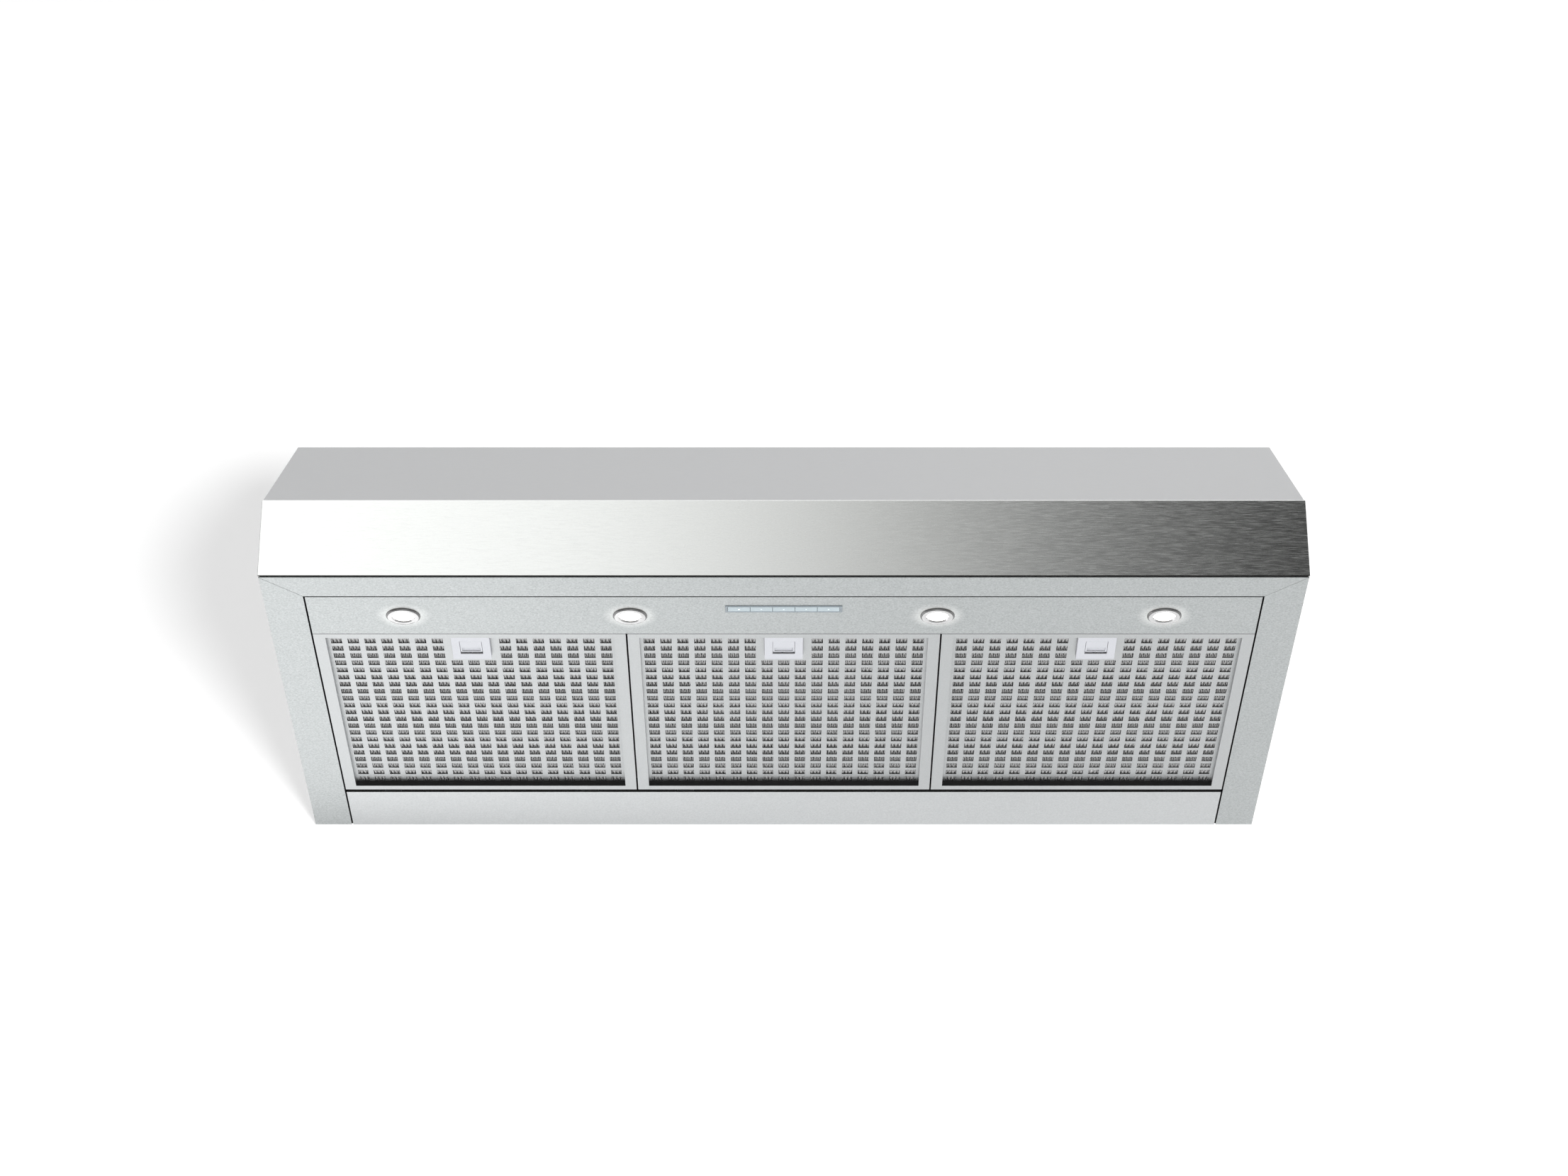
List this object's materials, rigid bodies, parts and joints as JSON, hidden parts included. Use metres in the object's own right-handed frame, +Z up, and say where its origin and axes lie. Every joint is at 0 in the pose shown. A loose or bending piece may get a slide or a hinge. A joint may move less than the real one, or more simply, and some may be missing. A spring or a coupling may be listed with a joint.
{
  "type": "under cabinet range hood",
  "caption": "Ducted range hood that hangs under a kitchen cabinet, with a raked front, lamps, a key strip, tilting grease filters, a blower and a duct collar.",
  "frame": {"origin": "middle of the cabinet screw pattern on the top face of the top panel", "axes": "+Z up, -Y out of the front of the hood, +X to the right seen from the front"},
  "size_m": [1.219, 0.69, 0.3865],
  "materials": {
    "lip_steel": "horizontally brushed",
    "slope_steel": "satin",
    "shell_steel": "satin",
    "side_steel": "satin",
    "under_steel": "fine satin",
    "rear_steel": "fine satin",
    "fastener": "bright",
    "lamp_body": "satin",
    "lamp_lens": "frosted, lit",
    "lamp_chrome": "polished",
    "key_bezel": "clear",
    "key_cap": "gloss",
    "circuit_board": "matt",
    "black_plastic": "matt",
    "galvanised": "dull",
    "wheel_steel": "dull",
    "motor_black": "satin",
    "capacitor": "gloss",
    "filter_frame": "satin",
    "filter_face": "satin",
    "filter_mesh": "rough",
    "latch_plastic": "satin",
    "spring_steel": "bright"
  },
  "bodies": {
    "hood": {"front_fascia": "lip_steel", "slope_panel": "slope_steel", "top_panel": "shell_steel", "back_panel": "shell_steel", "left_side_panel": "side_steel", "right_side_panel": "side_steel", "front_rim": "under_steel", "left_rim": "under_steel", "right_rim": "under_steel", "light_panel": "under_steel", "rear_panel": "rear_steel", "shell_screws": "fastener", "lamp_bodies": "lamp_body", "lamp_lenses": "lamp_lens", "control_bezel": "key_bezel", "control_board": "circuit_board", "control_box": "black_plastic", "duct_collar": "galvanised", "damper_rod": "fastener", "blower_housing": "galvanised", "left_inlet_ring": "galvanised", "right_inlet_ring": "galvanised", "blower_motor": "motor_black", "motor_bracket": "galvanised", "motor_capacitor": "capacitor", "junction_box": "galvanised", "junction_box_cover": "galvanised", "lamp_driver": "black_plastic", "wire_channel": "black_plastic", "far_left_lamp_bezel": "lamp_chrome", "left_lamp_bezel": "lamp_chrome", "right_lamp_bezel": "lamp_chrome", "far_right_lamp_bezel": "lamp_chrome"},
    "left_filter": {"left_filter_frame": "filter_frame", "left_filter_face": "filter_face", "left_filter_mesh": "filter_mesh", "left_latch_housing": "latch_plastic", "left_latch_spring": "spring_steel"},
    "left_latch": {"left_latch_slider": "latch_plastic"},
    "middle_filter": {"middle_filter_frame": "filter_frame", "middle_filter_face": "filter_face", "middle_filter_mesh": "filter_mesh", "middle_latch_housing": "latch_plastic", "middle_latch_spring": "spring_steel"},
    "middle_latch": {"middle_latch_slider": "latch_plastic"},
    "right_filter": {"right_filter_frame": "filter_frame", "right_filter_face": "filter_face", "right_filter_mesh": "filter_mesh", "right_latch_housing": "latch_plastic", "right_latch_spring": "spring_steel"},
    "right_latch": {"right_latch_slider": "latch_plastic"},
    "power_key": {"power_key": "key_cap"},
    "slower_key": {"slower_key": "key_cap"},
    "faster_key": {"faster_key": "key_cap"},
    "timer_key": {"timer_key": "key_cap"},
    "light_key": {"light_key": "key_cap"},
    "blower_wheel": {"blower_wheel": "wheel_steel", "motor_shaft": "fastener"},
    "front_damper": {"front_damper_flap": "galvanised"},
    "rear_damper": {"rear_damper_flap": "galvanised"}
  },
  "joints": [
    {"name": "left_filter_tilt", "type": "hinge", "parent": "hood", "child": "left_filter", "pos_m": [-0.37353, 0.1031, -0.32725], "axis": [1, 0, 0], "range_deg": [0, 65]},
    {"name": "left_latch_slide", "type": "slide", "parent": "left_filter", "child": "left_latch", "axis": [0, 1, 0], "range_m": [0, 0.005], "stiffness_N_per_m": 300, "springref_m": -0.004, "deforming": ["left_latch_spring"]},
    {"name": "middle_filter_tilt", "type": "hinge", "parent": "hood", "child": "middle_filter", "pos_m": [0, 0.1031, -0.32725], "axis": [1, 0, 0], "range_deg": [0, 65]},
    {"name": "middle_latch_slide", "type": "slide", "parent": "middle_filter", "child": "middle_latch", "axis": [0, 1, 0], "range_m": [0, 0.005], "stiffness_N_per_m": 300, "springref_m": -0.004, "deforming": ["middle_latch_spring"]},
    {"name": "right_filter_tilt", "type": "hinge", "parent": "hood", "child": "right_filter", "pos_m": [0.37353, 0.1031, -0.32725], "axis": [1, 0, 0], "range_deg": [0, 65]},
    {"name": "right_latch_slide", "type": "slide", "parent": "right_filter", "child": "right_latch", "axis": [0, 1, 0], "range_m": [0, 0.005], "stiffness_N_per_m": 300, "springref_m": -0.004, "deforming": ["right_latch_spring"]},
    {"name": "power_key_press", "type": "slide", "parent": "hood", "child": "power_key", "axis": [0, 0, 1], "range_m": [0, 0.0008], "stiffness_N_per_m": 500, "springref_m": -0.001},
    {"name": "slower_key_press", "type": "slide", "parent": "hood", "child": "slower_key", "axis": [0, 0, 1], "range_m": [0, 0.0008], "stiffness_N_per_m": 500, "springref_m": -0.001},
    {"name": "faster_key_press", "type": "slide", "parent": "hood", "child": "faster_key", "axis": [0, 0, 1], "range_m": [0, 0.0008], "stiffness_N_per_m": 500, "springref_m": -0.001},
    {"name": "timer_key_press", "type": "slide", "parent": "hood", "child": "timer_key", "axis": [0, 0, 1], "range_m": [0, 0.0008], "stiffness_N_per_m": 500, "springref_m": -0.001},
    {"name": "light_key_press", "type": "slide", "parent": "hood", "child": "light_key", "axis": [0, 0, 1], "range_m": [0, 0.0008], "stiffness_N_per_m": 500, "springref_m": -0.001},
    {"name": "wheel_spin", "type": "hinge", "parent": "hood", "child": "blower_wheel", "pos_m": [0, 0, -0.165], "axis": [1, 0, 0], "continuous": true},
    {"name": "front_damper_swing", "type": "hinge", "parent": "hood", "child": "front_damper", "pos_m": [0, 0, 0.025], "axis": [-1, 0, 0], "range_deg": [0, 80]},
    {"name": "rear_damper_swing", "type": "hinge", "parent": "hood", "child": "rear_damper", "pos_m": [0, 0, 0.025], "axis": [1, 0, 0], "range_deg": [0, 80]}
  ]
}
